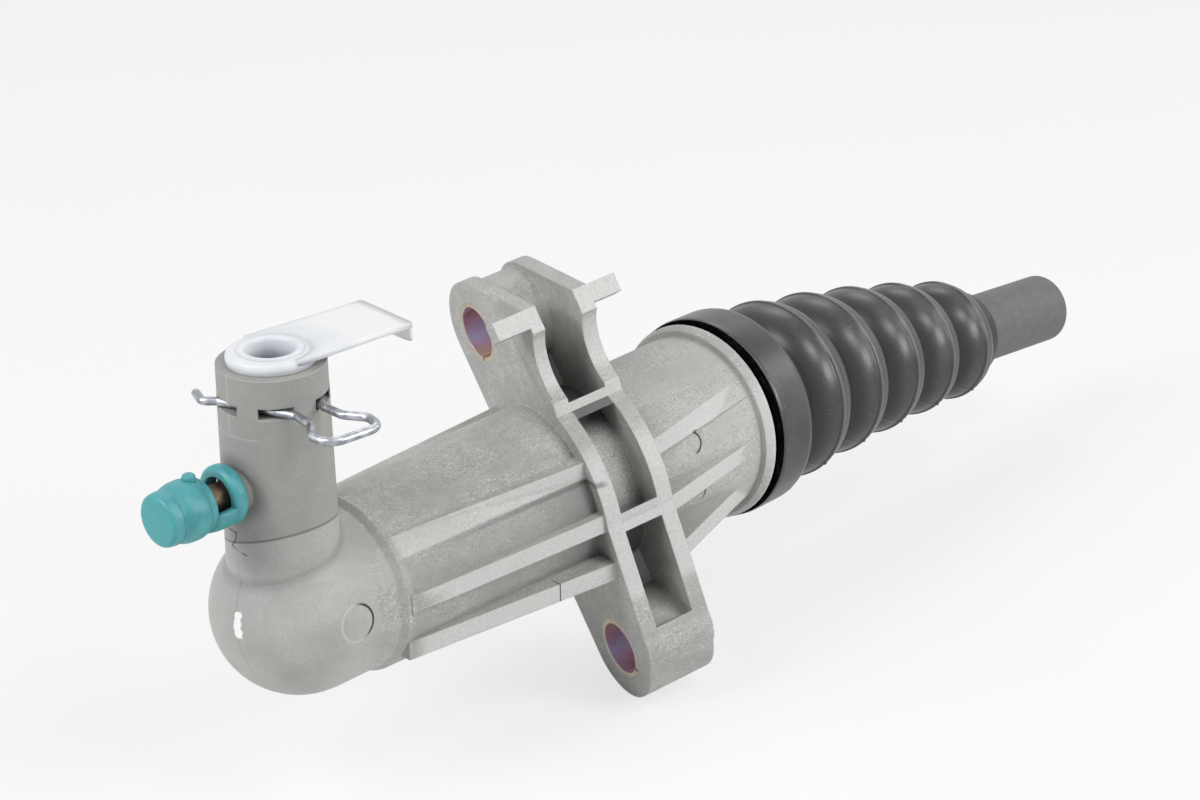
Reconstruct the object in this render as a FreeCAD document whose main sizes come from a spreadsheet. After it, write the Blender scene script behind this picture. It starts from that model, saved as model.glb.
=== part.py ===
import FreeCAD, Part
import math
import os
import re
import Sketcher

# Clutch slave cylinder: a moulded nylon cylinder with a slanted two-bolt flange, a port tower,
# a bleed screw under a rubber cap, a piston with its preload spring, a push rod and a dust boot.
# X runs along the bore from the closed dome to the push rod, and Z points up the port tower.
# The origin is where the bore's axis meets the plane of the flange's bolt head seats.
# The flange has its own frame: u runs from the lower hole to the upper one, v across the ears
# and w through the flange's depth, from the bolt heads to the mounting face.

SIZES = {
    # Barrel
    "bore_radius": 11.0,
    "bore_end": 50.0,
    "well_radius": 5.0,
    "well_depth": 4.5,
    "dome_radius": 13.0,
    "dome_centre": 51.2,
    "shoulder_place": 42.2,
    "shoulder_bevel": 1.1,
    "shoulder_radius": 13.7,
    "collar_place": 33.6,
    "collar_neck_radius": 15.1,
    "collar_front_radius": 16.0,
    "collar_radius": 16.6,
    "collar_bevel": 1.2,
    "collar_width": 1.7,
    "spigot_radius": 13.9,
    "mouth_place": 43.0,
    "mouth_bevel": 0.6,
    "bead_groove_place": 36.6,
    "bead_groove_width": 1.6,
    "bead_groove_depth": 0.9,
    # Flange
    "ear_roll": 33.9,
    "flange_skew": 16.5,
    "flange_depth": 12.0,
    "plate_thickness": 2.65,
    "hole_offset": 27.05,
    "ring_radius": 17.3,
    "ear_radius": 8.4,
    "lower_ear_width": 9.8,
    "lower_ear_corner": 5.4,
    "wing_reach": 18.2,
    "wing_top": 26.3,
    "wing_foot": 22.3,
    "wing_hollow_radius": 8.2,
    "wing_hollow_place": 15.3,
    "wing_hollow_floor": 14.2,
    "web_thickness": 2.7,
    "rib_thickness": 2.8,
    "upper_rib_place": 9.5,
    "lower_rib_place": 9.1,
    "lower_block_place": 26.0,
    "ear_boss_radius": 7.6,
    "seat_step": 0.5,
    "seat_edge": 11.5,
    "stub_width": 3.0,
    "stub_thickness": 2.8,
    "stub_length": 5.0,
    # Bolt sleeves
    "sleeve_bore_radius": 4.25,
    "sleeve_wall": 0.7,
    "sleeve_slit": 0.6,
    "upper_slit_angle": 205.0,
    "lower_slit_angle": 150.0,
    # Fins
    "fin_thickness": 2.9,
    "fin_level": 1.0,
    "fin_pitch": 7.9,
    "fin_start": 41.7,
    "fin_end": 33.0,
    "fin_step": 0.15,
    "fin_run_out": 0.6,
    "upper_fin_reach": 12.6,
    "middle_fin_reach": 16.2,
    "lower_fin_reach": 17.6,
    "lower_fin_far_reach": 13.8,
    # Port tower
    "tower_place": 53.5,
    "tower_top": 39.0,
    "tower_radius": 7.76,
    "tower_foot_radius": 8.3,
    "port_radius": 5.3,
    "port_depth": 15.0,
    "passage_radius": 2.0,
    "clip_level": 4.9,
    "clip_wire_radius": 0.63,
    "clip_yaw": 5.4,
    "clip_spread": 24.4,
    "slot_height": 1.6,
    "slot_inner": 4.8,
    "slot_outer": 8.6,
    "leg_offset": 5.6,
    # Transit plug
    "plug_rim_radius": 6.4,
    "plug_rim_height": 1.8,
    "plug_cup_radius": 3.6,
    "plug_cup_depth": 5.0,
    "plug_neck_radius": 4.4,
    "plug_tip_radius": 3.3,
    "plug_length": 12.0,
    "tab_reach": 20.7,
    "tab_width": 11.8,
    "tab_yaw": 4.5,
    "tab_thickness": 1.0,
    "tab_lip": 2.0,
    # Bleed screw and its cap
    "bleed_level": 21.9,
    "bleed_radius": 2.3,
    "bleed_boss_radius": 3.3,
    "bleed_boss_end": 61.8,
    "nipple_radius": 2.0,
    "nipple_barb_radius": 2.5,
    "nipple_length": 10.0,
    "bleed_hole_radius": 0.8,
    "cap_radius": 4.0,
    "cap_bulge": 0.45,
    "cap_cavity_radius": 2.85,
    "cap_start": 67.2,
    "cap_end": 75.0,
    "cap_wall": 1.4,
    "cap_ring_radius": 4.4,
    "cap_ring_start": 62.1,
    "cap_ring_width": 2.4,
    "cap_strap_thickness": 1.0,
    "cap_nub_radius": 0.9,
    "cap_nub_height": 0.9,
    # Piston and its rings
    "piston_clearance": 0.12,
    "piston_stop_clearance": 0.3,
    "piston_length": 24.5,
    "piston_nose_radius": 6.5,
    "piston_nose_length": 4.0,
    "seal_groove_place": 5.5,
    "seal_width": 3.0,
    "seal_depth": 2.6,
    "guide_groove_place": 12.5,
    "guide_width": 3.5,
    "guide_depth": 1.2,
    "ball_inset": 7.5,
    "ball_radius": 6.0,
    "ball_clearance": 0.3,
    "socket_lip_radius": 5.4,
    "socket_lip_depth": 5.2,
    "skirt_bore_radius": 8.2,
    "stop_ring_place": 38.8,
    "stop_ring_width": 1.2,
    "stop_ring_inner": 9.8,
    "stop_ring_seat": 11.9,
    "stop_ring_gap": 6.0,
    # Preload spring
    "spring_radius": 8.2,
    "spring_wire_radius": 0.9,
    "spring_turns": 7.0,
    # Push rod
    "rod_droop": 5.0,
    "rod_shaft_radius": 6.0,
    "rod_tip_radius": 6.25,
    "rod_tip_length": 23.8,
    "rod_neck_radius": 4.2,
    "rod_neck_end": 8.5,
    "rod_cone_end": 12.0,
    "rod_length": 101.9,
    "rod_bevel": 0.7,
    # Dust boot
    "boot_gap": 0.6,
    "band_radius": 17.1,
    "band_bevel": 0.4,
    "band_width": 8.4,
    "boot_wall": 1.2,
    "boot_seat_clearance": 0.3,
    "bellows_pitch": 11.6,
    "first_crest": 54.2,
    "first_crest_radius": 15.5,
    "crest_taper": 1.15,
    "valley_depth": 2.7,
    "crest_round": 3.4,
    "crest_ease": 0.55,
    "cuff_radius": 8.0,
    "cuff_width": 3.0,
}
CREST_COUNT = 5
TINY = 1.0e-6

os.makedirs("parts", exist_ok=True)
doc = FreeCAD.newDocument("slave_cylinder")
sheet = doc.addObject("Spreadsheet::Sheet", "Sizes")
for row, (alias, size) in enumerate(SIZES.items(), 1):
    sheet.set(f"A{row}", alias.replace("_", " "))
    sheet.set(f"B{row}", str(size))
    sheet.setAlias(f"B{row}", alias)
doc.recompute()


def size_of(alias):
    return float(getattr(sheet, alias))


def words(text):
    """Point each size's name in an expression at its cell."""
    return re.sub(r"[a-z][a-z_]+", lambda m: "Sizes." + m.group() if m.group() in SIZES else m.group(), text)


def place(x="0", y="0", z="0", yaw="0", pitch="0", roll="0"):
    return f"placement(vector({x}; {y}; {z}); rotation({yaw}; {pitch}; {roll}))"


FLANGE = place(yaw="90", roll="90") + " * " + place(yaw="90 - ear_roll", roll="-flange_skew")


def in_flange(u="0", v="0", w="0", yaw="0", pitch="0"):
    return FLANGE + " * " + place(u, v, w, yaw, pitch)


def primitive(kind, name, at, **sizes):
    item = doc.addObject(kind, name)
    for prop, text in sizes.items():
        item.setExpression(prop, words(text))
    item.setExpression("Placement", words(at))
    return item


def cylinder(name, radius, height, at):
    return primitive("Part::Cylinder", name, at, Radius=radius, Height=height)


def box(name, length, width, height, at):
    return primitive("Part::Box", name, at, Length=length, Width=width, Height=height)


def outline(name, corners, at):
    """A closed sketch of straight lines whose corners are bound to the sheet."""
    sketch = doc.addObject("Sketcher::SketchObject", name + "_outline")
    sketch.setExpression("Placement", words(at))
    texts = [(words(a), words(b)) for a, b in corners]
    values = [(float(sketch.evalExpression(a)), float(sketch.evalExpression(b))) for a, b in texts]
    points = [FreeCAD.Vector(a, b, 0) for a, b in values]
    count = len(points)
    for i in range(count):
        sketch.addGeometry(Part.LineSegment(points[i], points[(i + 1) % count]), False)
    for i, (across, up) in enumerate(texts):
        sketch.addConstraint(Sketcher.Constraint("Coincident", i, 2, (i + 1) % count, 1))
        first = sketch.addConstraint(Sketcher.Constraint("DistanceX", -1, 1, i, 1, points[i].x))
        sketch.setExpression(f"Constraints[{first}]", across)
        second = sketch.addConstraint(Sketcher.Constraint("DistanceY", -1, 1, i, 1, points[i].y))
        sketch.setExpression(f"Constraints[{second}]", up)
    return sketch


def prism(name, corners, height, at):
    item = doc.addObject("Part::Extrusion", name)
    item.Base = outline(name, corners, at)
    item.DirMode = "Normal"
    item.setExpression("LengthFwd", words(height))
    item.Solid = True
    return item


def turned(name, corners, centre="0", droop="0"):
    """A profile of (place, radius) corners turned about the bore's axis or one that droops."""
    item = doc.addObject("Part::Revolution", name)
    item.Source = outline(name, corners, place(centre, pitch=droop))
    item.setExpression("Axis", words(f"vector(cos({droop}); 0; -sin({droop}))"))
    item.setExpression("Base", words(f"vector({centre}; 0; 0)"))
    item.Angle = 360
    item.Solid = True
    return item


def turned_upright(name, corners):
    """A profile of (radius, height) corners turned about the port tower's axis."""
    item = doc.addObject("Part::Revolution", name)
    item.Source = outline(name, corners, place("-tower_place", roll="90"))
    item.Axis = FreeCAD.Vector(0, 0, 1)
    item.setExpression("Base", words("vector(-tower_place; 0; 0)"))
    item.Angle = 360
    item.Solid = True
    return item


def fuse(name, items):
    item = doc.addObject("Part::MultiFuse", name)
    item.Shapes = items
    return item


def cut(name, base, tools):
    item = doc.addObject("Part::Cut", name)
    item.Base = base
    item.Tool = tools[0] if len(tools) == 1 else fuse(name + "_tools", tools)
    return item


def bent_wire(points, bends, radius):
    """A round wire along straight runs joined by tangent arcs, one bend radius per inner point."""
    edges = []
    start = points[0]
    for before, corner, after, bend in zip(points, points[1:], points[2:], bends):
        toward = (before - corner).normalize()
        away = (after - corner).normalize()
        half = toward.getAngle(away) / 2
        back = bend / math.tan(half)
        middle = (toward + away).normalize()
        enter = corner + toward * back
        leave = corner + away * back
        crown = corner + middle * (bend / math.sin(half) - bend)
        edges.append(Part.LineSegment(start, enter).toShape())
        edges.append(Part.Arc(enter, crown, leave).toShape())
        start = leave
    edges.append(Part.LineSegment(start, points[-1]).toShape())
    path = Part.Wire(edges)
    ring = Part.Wire(Part.Circle(points[0], points[1] - points[0], radius).toShape())
    return path.makePipeShell([ring], True, False)


nodes = {}


def keep(node, item):
    item.Label = node
    nodes[node] = item


# Barrel: the turned outside with its shoulder, taper, collar and spigot, and the dome
barrel = turned("barrel", [
    ("-dome_centre", "0"),
    ("-dome_centre", "dome_radius"),
    ("-shoulder_place - shoulder_bevel", "dome_radius"),
    ("-shoulder_place", "shoulder_radius"),
    ("collar_place", "collar_neck_radius"),
    ("collar_place", "collar_front_radius"),
    ("collar_place + collar_bevel", "collar_radius"),
    ("collar_place + collar_width", "collar_radius"),
    ("collar_place + collar_width", "spigot_radius"),
    ("bead_groove_place", "spigot_radius"),
    ("bead_groove_place", "spigot_radius - bead_groove_depth"),
    ("bead_groove_place + bead_groove_width", "spigot_radius - bead_groove_depth"),
    ("bead_groove_place + bead_groove_width", "spigot_radius"),
    ("mouth_place - mouth_bevel", "spigot_radius"),
    ("mouth_place", "spigot_radius - mouth_bevel"),
    ("mouth_place", "0"),
])
dome = primitive("Part::Sphere", "dome", place("-dome_centre"), Radius="dome_radius")

# Flange: ring, ears and the upper wing at full depth, cored between two plates
ring = cylinder("flange_ring", "ring_radius", "flange_depth", in_flange())
upper_ear = cylinder("upper_ear", "ear_radius", "flange_depth", in_flange("hole_offset"))
lower_ear = cylinder("lower_ear", "ear_radius", "flange_depth", in_flange("-hole_offset"))
strap = box(
    "ear_strap", "2 * hole_offset", "2 * ear_radius", "flange_depth", in_flange("-hole_offset", "-ear_radius"))
lower_corner = cylinder(
    "lower_corner", "lower_ear_corner", "flange_depth",
    in_flange("-hole_offset", "lower_ear_width - lower_ear_corner"))
lower_taper = prism("lower_taper", [
    ("-hole_offset", "0"),
    ("-lower_rib_place", "0"),
    ("-lower_rib_place", "sqrt(ring_radius ^ 2 - lower_rib_place ^ 2)"),
    ("-hole_offset", "lower_ear_width"),
], "flange_depth", in_flange())
wing = prism("wing", [
    ("upper_rib_place", "0"),
    ("hole_offset", "0"),
    ("hole_offset + ear_radius * sin(60)", "ear_radius * cos(60)"),
    ("wing_top", "wing_reach"),
    ("wing_foot", "wing_reach"),
    ("upper_rib_place", "sqrt(ring_radius ^ 2 - upper_rib_place ^ 2)"),
], "flange_depth", in_flange())
wing_hollow = cylinder(
    "wing_hollow", "wing_hollow_radius", "flange_depth",
    in_flange("wing_hollow_place", "wing_hollow_floor + wing_hollow_radius"))
flange_blank = cut("flange_blank", fuse("flange_outline", [
    ring, upper_ear, lower_ear, strap, lower_corner, lower_taper, wing]), [wing_hollow])

GAP = "flange_depth - 2 * plate_thickness"
CORE_REACH = "2 * ring_radius"
cores = []
for side, start in (("near", "web_thickness / 2"), ("far", "-web_thickness / 2 - 2 * ring_radius")):
    for name, low, high in (
        ("upper", "upper_rib_place + rib_thickness / 2", "hole_offset"),
        ("middle", "rib_thickness / 2 - lower_rib_place", "upper_rib_place - rib_thickness / 2"),
        ("lower", "-lower_block_place", "-lower_rib_place - rib_thickness / 2"),
    ):
        cores.append(box(
            f"{name}_core_{side}", f"({high}) - ({low})", CORE_REACH, GAP,
            in_flange(low, start, "plate_thickness")))
cores.append(box(
    "top_core", "2 * ear_radius", "2 * " + CORE_REACH, GAP,
    in_flange("hole_offset", "-" + CORE_REACH, "plate_thickness")))
seat_relief = box(
    "seat_relief", "hole_offset", "wing_reach", "seat_step",
    in_flange("upper_rib_place + rib_thickness", "seat_edge"))
upper_boss = cylinder("upper_boss", "ear_boss_radius", "flange_depth", in_flange("hole_offset"))
lower_boss = cylinder("lower_boss", "ear_boss_radius", "flange_depth", in_flange("-hole_offset"))
stubs = []
for name, start in (("front", "-stub_length"), ("rear", "flange_depth - plate_thickness")):
    stubs.append(box(
        f"{name}_stub", "stub_width", "stub_thickness", "stub_length + plate_thickness",
        in_flange("wing_top - stub_width", "wing_reach - stub_thickness", start)))

# Fins: three levels rise from the shoulder to the flange's edges, and on the near side the
# lower two run on from its rear plate to the collar
DEPTH_ACROSS = "flange_depth * sin(flange_skew) * cos(ear_roll)"


def plate_place(depth, across, level):
    """Where a flange plate at some depth crosses a fin's level, along the bore."""
    lean = f"sin(flange_skew) * (cos(ear_roll) * ({across}) - sin(ear_roll) * {level})"
    return f"({depth} + {lean}) / cos(flange_skew)"


fin_slabs = []
for name, step, grip, near, far in (
    ("upper", "1", "fin_level + fin_pitch + fin_thickness / 2", "upper_fin_reach", "upper_fin_reach"),
    ("middle", "0", "0", "middle_fin_reach", "middle_fin_reach"),
    ("lower", "-1", "fin_level - fin_pitch + fin_thickness / 2", "lower_fin_reach", "lower_fin_far_reach"),
):
    level = f"(fin_level + ({step}) * fin_pitch)"
    start = f"sqrt((shoulder_radius + fin_step) ^ 2 - ({grip}) ^ 2)"
    finish = f"sqrt((collar_neck_radius - fin_run_out) ^ 2 - {level} ^ 2)"
    rear_reach = f"{near} + {DEPTH_ACROSS}"
    corners = [
        ("-fin_start", f"-({start})"),
        (plate_place("plate_thickness / 2", f"-{near}", level), f"-{near}"),
        (plate_place("flange_depth - plate_thickness / 2", f"-{rear_reach}", level), f"-({rear_reach})"),
    ]
    if name == "upper":
        corners[2] = (plate_place("plate_thickness / 2", "0", level), "0")
    else:
        corners.append(("fin_end", f"-({finish})"))
        corners.append(("fin_end", "0"))
    corners += [
        (plate_place("plate_thickness / 2", "0", level), "0"),
        (plate_place("plate_thickness / 2", far, level), far),
        ("-fin_start", start),
    ]
    if name == "upper":
        corners.pop(3)
    fin_slabs.append(prism(f"{name}_fin", corners, "fin_thickness", place(z=f"{level} - fin_thickness / 2")))

cored_flange = cut("cored_flange", fuse("finned_flange", [flange_blank] + fin_slabs), cores + [seat_relief])

# Port tower with a slight draft, and the bleed boss on its closed side
tower = primitive(
    "Part::Cone", "tower", place("-tower_place"),
    Radius1="tower_foot_radius", Radius2="tower_radius", Height="tower_top")
bleed_boss = cylinder(
    "bleed_boss", "bleed_boss_radius", "bleed_boss_end - tower_place",
    place("-bleed_boss_end", "0", "bleed_level", pitch="90"))
body_blank = fuse("body_blank", [
    barrel, dome, cored_flange, upper_boss, lower_boss, tower, bleed_boss] + stubs)

# Everything that is cored or drilled from the moulding
bore = turned("bore", [
    ("-bore_end - well_depth", "0"),
    ("-bore_end - well_depth", "well_radius"),
    ("-bore_end", "well_radius"),
    ("-bore_end", "bore_radius"),
    ("stop_ring_place", "bore_radius"),
    ("stop_ring_place", "stop_ring_seat"),
    ("stop_ring_place + stop_ring_width", "stop_ring_seat"),
    ("stop_ring_place + stop_ring_width", "bore_radius"),
    ("mouth_place + 1", "bore_radius"),
    ("mouth_place + 1", "0"),
])
port = turned_upright("port", [
    ("0", "0"),
    ("passage_radius", "0"),
    ("passage_radius", "tower_top - port_depth"),
    ("port_radius", "tower_top - port_depth"),
    ("port_radius", "tower_top + 1"),
    ("0", "tower_top + 1"),
])
bleed_bore = cylinder(
    "bleed_bore", "bleed_radius", "bleed_boss_end + 1 - tower_place",
    place("-bleed_boss_end - 1", "0", "bleed_level", pitch="90"))
slots = []
for name, sign in (("left", "-1"), ("right", "1")):
    turn = f"-clip_yaw - ({sign}) * clip_spread"
    shift = f"({sign}) * (slot_outer + slot_inner) / 2 - (slot_outer - slot_inner) / 2"
    slots.append(box(
        f"{name}_slot", "slot_outer - slot_inner", "2 * tower_foot_radius", "slot_height",
        place("-tower_place", "0", "tower_top - clip_level - slot_height / 2", turn)
        + " * " + place(shift, "-tower_foot_radius")))
HOLE_RADIUS = "sleeve_bore_radius + sleeve_wall"
upper_hole = cylinder("upper_hole", HOLE_RADIUS, "flange_depth", in_flange("hole_offset"))
lower_hole = cylinder("lower_hole", HOLE_RADIUS, "flange_depth", in_flange("-hole_offset"))
keep("cylinder_body", cut("body", body_blank, [bore, port, bleed_bore, upper_hole, lower_hole] + slots))

# Rolled bolt sleeves, each split along its length
for name, offset, angle in (
    ("upper", "hole_offset", "upper_slit_angle"),
    ("lower", "-hole_offset", "lower_slit_angle"),
):
    shell = cylinder(f"{name}_shell", HOLE_RADIUS, "flange_depth", in_flange(offset))
    hollow = cylinder(f"{name}_hollow", "sleeve_bore_radius", "flange_depth", in_flange(offset))
    slit = box(
        f"{name}_slit", "2 * sleeve_bore_radius", "sleeve_slit", "flange_depth",
        in_flange(offset, yaw=angle) + " * " + place("0", "-sleeve_slit / 2"))
    keep(f"bolt_sleeve_{name}", cut(f"{name}_sleeve", shell, [hollow, slit]))

# Transit plug: rim, cup and stem in the port, with a flat pull tab that ends in a lip
stem = turned_upright("plug_stem", [
    ("0", "tower_top - plug_length"),
    ("plug_tip_radius", "tower_top - plug_length"),
    ("plug_tip_radius", "tower_top - 2 * clip_level"),
    ("plug_neck_radius", "tower_top - 2 * clip_level + 1"),
    ("plug_neck_radius", "tower_top"),
    ("plug_rim_radius", "tower_top"),
    ("plug_rim_radius", "tower_top + plug_rim_height"),
    ("plug_cup_radius", "tower_top + plug_rim_height"),
    ("plug_cup_radius - 0.6", "tower_top + plug_rim_height - plug_cup_depth"),
    ("0", "tower_top + plug_rim_height - plug_cup_depth"),
])
TAB = place("-tower_place", "0", "tower_top + plug_rim_height - tab_thickness", "-tab_yaw")
tab = prism("pull_tab", [
    ("plug_cup_radius + 1", "-plug_rim_radius * cos(40)"),
    ("tab_reach", "-tab_width / 2"),
    ("tab_reach", "tab_width / 2"),
    ("plug_cup_radius + 1", "plug_rim_radius * cos(40)"),
], "tab_thickness", TAB)
lip = box(
    "tab_end", "tab_thickness", "tab_width", "tab_lip",
    TAB + " * " + place("tab_reach - tab_thickness", "-tab_width / 2", "tab_thickness - tab_lip"))
keep("transit_plug", fuse("plug", [stem, tab, lip]))

# Seal ring at the foot of the port, round the plug's tip
port_seal = primitive(
    "Part::Torus", "seal_ring", place("-tower_place", "0", "tower_top - plug_length + 1"),
    Radius1="(port_radius + plug_tip_radius + 0.1) / 2", Radius2="(port_radius - plug_tip_radius - 0.1) / 2")
keep("port_seal", port_seal)

# Port clip: one spring wire with a pinched handle, two legs in the slots and hooked ends
wire_radius = size_of("clip_wire_radius")
spread = math.radians(size_of("clip_spread"))
level = size_of("tower_top") - size_of("clip_level")


def leg_across(along):
    """How far a leg lies from the clip's middle, at a place along the clip."""
    return (size_of("leg_offset") + along * math.sin(spread)) / math.cos(spread)


HOOK_END = (8.0, 7.2)
HOOK_BEND = (9.0, 4.2)
LEG_END = 2.6
LEG_START = -8.6
WAIST = (2.6, -12.7)
HANDLE_SIDE = (4.7, -15.6)
HANDLE_CORNER = (4.2, -19.3)
half = [
    HOOK_END,
    HOOK_BEND,
    (leg_across(LEG_END), LEG_END),
    (leg_across(LEG_START), LEG_START),
    WAIST,
    HANDLE_SIDE,
    HANDLE_CORNER,
]
half_bends = [1.1, 1.1, 1.6, 1.5, 1.6, 2.3]
right = [FreeCAD.Vector(across, along, 0) for across, along in half]
left = [FreeCAD.Vector(-across, along, 0) for across, along in reversed(half)]
clip = doc.addObject("Part::Feature", "clip")
clip.Shape = bent_wire(right + left, half_bends + half_bends[::-1], wire_radius)
clip.Placement = FreeCAD.Placement(
    FreeCAD.Vector(-size_of("tower_place"), 0, level),
    FreeCAD.Rotation(FreeCAD.Vector(0, 0, 1), -size_of("clip_yaw")))
keep("port_clip", clip)

# Bleed screw: a shank in the tower, a drilled nipple and its barb
screw_blank = turned("screw", [
    ("-bleed_boss_end - nipple_length", "0"),
    ("-bleed_boss_end - nipple_length", "nipple_radius"),
    ("-bleed_boss_end - nipple_length + 2", "nipple_barb_radius"),
    ("-bleed_boss_end - nipple_length + 2.5", "nipple_radius"),
    ("-bleed_boss_end", "nipple_radius"),
    ("-bleed_boss_end", "bleed_radius - 0.05"),
    ("-tower_place - passage_radius - 1.5", "bleed_radius - 0.05"),
    ("-tower_place - passage_radius", "passage_radius / 2"),
    ("-tower_place - passage_radius", "0"),
])
screw_blank.Source.setExpression("Placement", words(place("0", "0", "bleed_level")))
screw_blank.setExpression("Base", words("vector(0; 0; bleed_level)"))
screw_drill = cylinder(
    "screw_drill", "bleed_hole_radius", "nipple_length + 2",
    place("-bleed_boss_end - nipple_length", "0", "bleed_level", pitch="90"))
keep("bleed_screw", cut("bleeder", screw_blank, [screw_drill]))

# Bleed cap: a bulged cap, its retaining ring on the nipple's neck and the strap between them
cap_shell = turned("cap_shell", [
    ("-cap_end", "0"),
    ("-cap_end", "cap_radius - 0.8"),
    ("-cap_end + 0.5", "cap_radius"),
    ("-cap_end + 2.4", "cap_radius"),
    ("-cap_end + 3.6", "cap_radius + cap_bulge"),
    ("-cap_start - 2", "cap_radius + cap_bulge"),
    ("-cap_start", "cap_radius - 0.2"),
    ("-cap_start", "cap_cavity_radius"),
    ("-cap_end + cap_wall", "cap_cavity_radius"),
    ("-cap_end + cap_wall", "0"),
])
cap_ring = turned("cap_ring", [
    ("-cap_ring_start - cap_ring_width", "cap_cavity_radius"),
    ("-cap_ring_start - cap_ring_width", "cap_ring_radius - 0.5"),
    ("-cap_ring_start - cap_ring_width + 0.6", "cap_ring_radius"),
    ("-cap_ring_start - 0.6", "cap_ring_radius"),
    ("-cap_ring_start", "cap_ring_radius - 0.5"),
    ("-cap_ring_start", "cap_cavity_radius"),
])
for item in (cap_shell, cap_ring):
    item.Source.setExpression("Placement", words(place("0", "0", "bleed_level")))
    item.setExpression("Base", words("vector(0; 0; bleed_level)"))
cap_strap = box(
    "cap_strap", "cap_start - cap_ring_start", "cap_radius", "cap_strap_thickness",
    place("-cap_start - 0.6", "-cap_radius / 2", "bleed_level - cap_ring_radius + 0.1"))
cap_nub = cylinder(
    "cap_nub", "cap_nub_radius", "cap_nub_height + cap_bulge + 0.8",
    place("-cap_start - 1.9", "0", "bleed_level + cap_radius - 0.8"))
keep("bleed_cap", fuse("cap", [cap_shell, cap_ring, cap_strap, cap_nub]))

# Piston: nose for the spring, grooves for its seal and guide, and a snap socket for the rod's ball
SKIRT = "bore_radius - piston_clearance"
PISTON_END = "stop_ring_place - piston_stop_clearance"
PISTON_FRONT = f"({PISTON_END} - piston_length)"
BALL_CENTRE = f"({PISTON_END} - ball_inset)"
piston_blank = turned("piston_blank", [
    ("0", "0"),
    ("0", "piston_nose_radius"),
    ("piston_nose_length", "piston_nose_radius"),
    ("piston_nose_length", SKIRT),
    ("seal_groove_place", SKIRT),
    ("seal_groove_place", "bore_radius - seal_depth"),
    ("seal_groove_place + seal_width", "bore_radius - seal_depth"),
    ("seal_groove_place + seal_width", SKIRT),
    ("guide_groove_place", SKIRT),
    ("guide_groove_place", "bore_radius - guide_depth"),
    ("guide_groove_place + guide_width", "bore_radius - guide_depth"),
    ("guide_groove_place + guide_width", SKIRT),
    ("piston_length", SKIRT),
    ("piston_length", "skirt_bore_radius"),
    ("piston_length - ball_inset + socket_lip_depth", "skirt_bore_radius"),
    ("piston_length - ball_inset + socket_lip_depth", "0"),
], PISTON_FRONT)
socket = primitive("Part::Sphere", "socket", place(BALL_CENTRE), Radius="ball_radius + ball_clearance")
socket_mouth = cylinder("socket_mouth", "socket_lip_radius", "piston_length", place(BALL_CENTRE, pitch="90"))
keep("piston", cut("piston_form", piston_blank, [socket, socket_mouth]))

# Seal and guide rings in the piston's grooves
for name, start, width, depth, slack in (
    ("piston_seal", "seal_groove_place", "seal_width", "seal_depth", "0.1"),
    ("piston_guide", "guide_groove_place", "guide_width", "guide_depth", "0.05"),
):
    keep(name, turned(name + "_form", [
        (f"{start} + 0.1", f"bore_radius - {depth}"),
        (f"{start} + 0.1", f"bore_radius - {slack}"),
        (f"{start} + {width} - 0.1", f"bore_radius - {slack}"),
        (f"{start} + {width} - 0.1", f"bore_radius - {depth}"),
    ], PISTON_FRONT))

# Stop ring snapped in its groove at the mouth
stop_blank = turned("stop_blank", [
    ("stop_ring_place", "stop_ring_inner"),
    ("stop_ring_place", "stop_ring_seat"),
    ("stop_ring_place + stop_ring_width", "stop_ring_seat"),
    ("stop_ring_place + stop_ring_width", "stop_ring_inner"),
])
stop_gap = box(
    "stop_gap", "stop_ring_width", "stop_ring_gap", "stop_ring_seat",
    place("stop_ring_place", "-stop_ring_gap / 2"))
keep("stop_ring", cut("stop_form", stop_blank, [stop_gap]))

# Preload spring between the bore's end and the piston's shoulder, a coil of short straight runs
RUNS_PER_TURN = 12
piston_front = size_of("stop_ring_place") - size_of("piston_stop_clearance") - size_of("piston_length")
coil_start = -size_of("bore_end") + size_of("spring_wire_radius")
coil_end = piston_front + size_of("piston_nose_length") - size_of("spring_wire_radius")
coil_radius = size_of("spring_radius")
coil_runs = round(size_of("spring_turns") * RUNS_PER_TURN)
coil_points = []
for i in range(coil_runs + 1):
    along = coil_start + (coil_end - coil_start) * i / coil_runs
    angle = 2 * math.pi * i / RUNS_PER_TURN
    coil_points.append(FreeCAD.Vector(along, coil_radius * math.sin(angle), coil_radius * math.cos(angle)))
coil_path = Part.Wire([Part.LineSegment(a, b).toShape() for a, b in zip(coil_points, coil_points[1:])])
coil_slope = coil_points[1] - coil_points[0]
coil_section = Part.Wire(Part.Circle(coil_points[0], coil_slope, size_of("spring_wire_radius")).toShape())
MITRED = 1
spring = doc.addObject("Part::Feature", "spring")
spring.Shape = coil_path.makePipeShell([coil_section], True, False, MITRED)
keep("preload_spring", spring)

# Push rod: a ball, a neck that clears the socket's lip, a shaft and a thicker tip that stops the cuff
rod_shaft = turned("rod_shaft", [
    ("0", "0"),
    ("0", "rod_neck_radius"),
    ("rod_neck_end", "rod_neck_radius"),
    ("rod_cone_end", "rod_shaft_radius"),
    ("rod_length - rod_tip_length", "rod_shaft_radius"),
    ("rod_length - rod_tip_length", "rod_tip_radius"),
    ("rod_length - rod_bevel", "rod_tip_radius"),
    ("rod_length", "rod_tip_radius - rod_bevel"),
    ("rod_length", "0"),
], BALL_CENTRE, "rod_droop")
rod_ball = primitive("Part::Sphere", "rod_ball", place(BALL_CENTRE), Radius="ball_radius")
keep("push_rod", fuse("rod", [rod_shaft, rod_ball]))

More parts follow.
